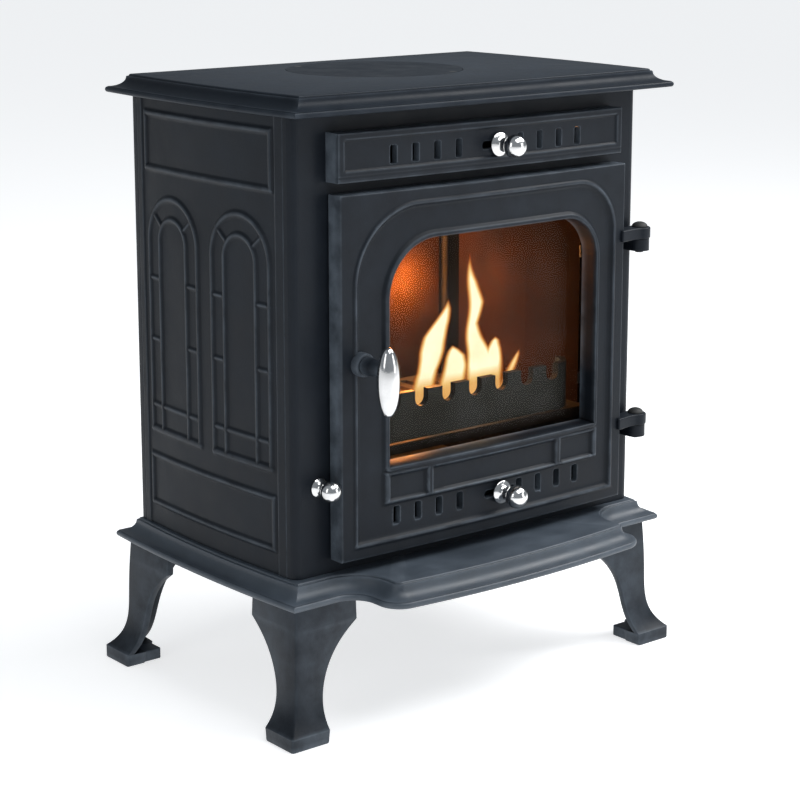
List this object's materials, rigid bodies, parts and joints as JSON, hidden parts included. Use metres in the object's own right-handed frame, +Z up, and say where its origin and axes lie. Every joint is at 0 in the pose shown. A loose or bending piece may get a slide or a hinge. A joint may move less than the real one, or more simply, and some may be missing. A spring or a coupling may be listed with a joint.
{
  "type": "wood burning stove",
  "caption": "Small free-standing cast-iron wood burning stove on cabriole legs, with a glazed door, air-wash panel, riddling grate, ash pan and rear flue collar.",
  "frame": {"origin": "on the floor, under the middle of the stove's overall box", "axes": "+Z up; -Y out of the door; +X to the right of a person facing the door, where the hinges are"},
  "size_m": [0.491, 0.4, 0.6],
  "materials": {
    "cast_iron_shell": "matt black stove paint over a fine sand-cast surface",
    "bare_iron": "sooty bare casting",
    "zinc_plated_steel": "dull zinc plating",
    "sheet_steel": "folded sheet steel, heat-resistant black paint",
    "polished_chrome": "polished chrome plating",
    "firebrick": "matt buff refractory board",
    "rope_seal": "braided glass-fibre rope",
    "ceramic_glass": "clear heat-resistant ceramic glass"
  },
  "bodies": {
    "stove_body": {"top_plate": "cast_iron_shell", "top_blanking_plate": "cast_iron_shell", "blanking_plate_screws": "zinc_plated_steel", "base_plate": "cast_iron_shell", "front_left_leg": "cast_iron_shell", "front_right_leg": "cast_iron_shell", "rear_left_leg": "cast_iron_shell", "rear_right_leg": "cast_iron_shell", "leg_bolts": "zinc_plated_steel", "leg_nuts": "zinc_plated_steel", "left_side_panel": "cast_iron_shell", "right_side_panel": "cast_iron_shell", "front_plate": "cast_iron_shell", "back_plate": "cast_iron_shell", "tie_rods": "zinc_plated_steel", "tie_rod_nuts": "zinc_plated_steel", "flue_collar": "cast_iron_shell", "collar_bolts": "zinc_plated_steel", "left_firebrick": "firebrick", "right_firebrick": "firebrick", "rear_firebrick": "firebrick", "baffle_plate": "bare_iron", "grate_frame": "bare_iron", "log_retainer": "bare_iron", "airwash_panel": "cast_iron_shell", "airwash_panel_screws": "zinc_plated_steel", "airwash_guides": "zinc_plated_steel", "hinge_pins": "cast_iron_shell"},
    "door": {"door_casting": "cast_iron_shell", "door_glass": "ceramic_glass", "glass_gasket": "rope_seal", "glass_clips": "zinc_plated_steel", "glass_clip_screws": "zinc_plated_steel", "door_rope_seal": "rope_seal", "door_slider_guides": "zinc_plated_steel"},
    "door_handle": {"handle_shaft": "cast_iron_shell", "handle_grip": "polished_chrome", "latch_cam": "zinc_plated_steel", "latch_nut": "zinc_plated_steel"},
    "door_air_control": {"door_air_slider": "bare_iron", "door_air_knob": "polished_chrome"},
    "airwash_control": {"airwash_slider": "bare_iron", "airwash_knob": "polished_chrome"},
    "riddling_gear": {"riddling_rod": "zinc_plated_steel", "riddling_knob": "polished_chrome", "grate": "bare_iron"},
    "ash_drawer": {"ash_pan": "sheet_steel", "ash_pan_handle": "sheet_steel"}
  },
  "joints": [
    {"name": "door_hinge", "type": "hinge", "parent": "stove_body", "child": "door", "pos_m": [0.211, -0.124, 0.4286], "axis": [0, 0, 1], "range_deg": [0, 115]},
    {"name": "handle_turn", "type": "hinge", "parent": "door", "child": "door_handle", "pos_m": [-0.154, -0.148, 0.3515], "axis": [0, 1, 0], "range_deg": [0, 90]},
    {"name": "door_air_slide", "type": "slide", "parent": "door", "child": "door_air_control", "axis": [1, 0, 0], "range_m": [-0.012, 0.012]},
    {"name": "airwash_slide", "type": "slide", "parent": "stove_body", "child": "airwash_control", "axis": [1, 0, 0], "range_m": [-0.012, 0.012]},
    {"name": "riddling_slide", "type": "slide", "parent": "stove_body", "child": "riddling_gear", "axis": [0, -1, 0], "range_m": [0, 0.03]},
    {"name": "ash_pan_slide", "type": "slide", "parent": "stove_body", "child": "ash_drawer", "axis": [0, -1, 0], "range_m": [0, 0.14]}
  ],
  "couplings": [
    {"joint": "ash_pan_slide", "follows": "door_hinge", "m_per_rad": 0.0697}
  ]
}
